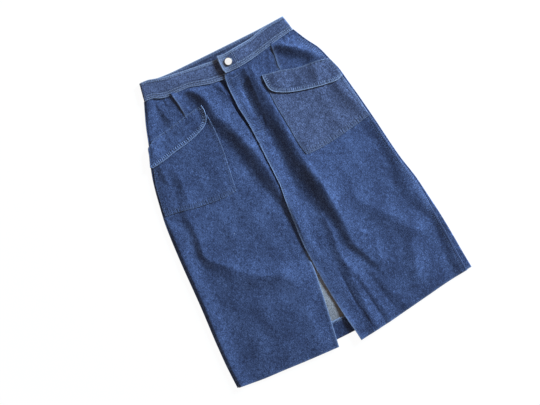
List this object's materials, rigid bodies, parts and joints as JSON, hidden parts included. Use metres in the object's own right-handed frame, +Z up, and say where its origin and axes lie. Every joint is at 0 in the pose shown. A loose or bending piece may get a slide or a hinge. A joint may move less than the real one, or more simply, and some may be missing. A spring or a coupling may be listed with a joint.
{
  "type": "denim skirt",
  "caption": "Knee-length denim skirt laid flat, front up, with a buttoned waistband, fly, flapped patch pockets, pleats and a front slit.",
  "frame": {"origin": "middle of the skirt's outline on the surface that it lies on", "axes": "+Z up from the surface to the front of the skirt, +Y from the hem to the waist, +X to the wearer's left"},
  "size_m": [0.5723, 0.7118, 0.0158],
  "materials": {
    "denim": "indigo twill, light topstitching, worn pale along the edges",
    "denim_wrong_side": "wrong side of indigo twill, pale grey with dark flecks",
    "button_metal": "polished, slightly domed",
    "thread": "twisted cotton thread, pale blue, slightly fuzzy"
  },
  "bodies": {
    "root": {"back_panel": "denim_wrong_side", "back_hem": "denim", "front_right": "denim", "front_left": "denim", "fly_shield": "denim", "waistband": "denim", "pocket_right": "denim", "pocket_left": "denim", "flap_right": "denim", "flap_left": "denim", "button": "button_metal"}
  },
  "joints": []
}
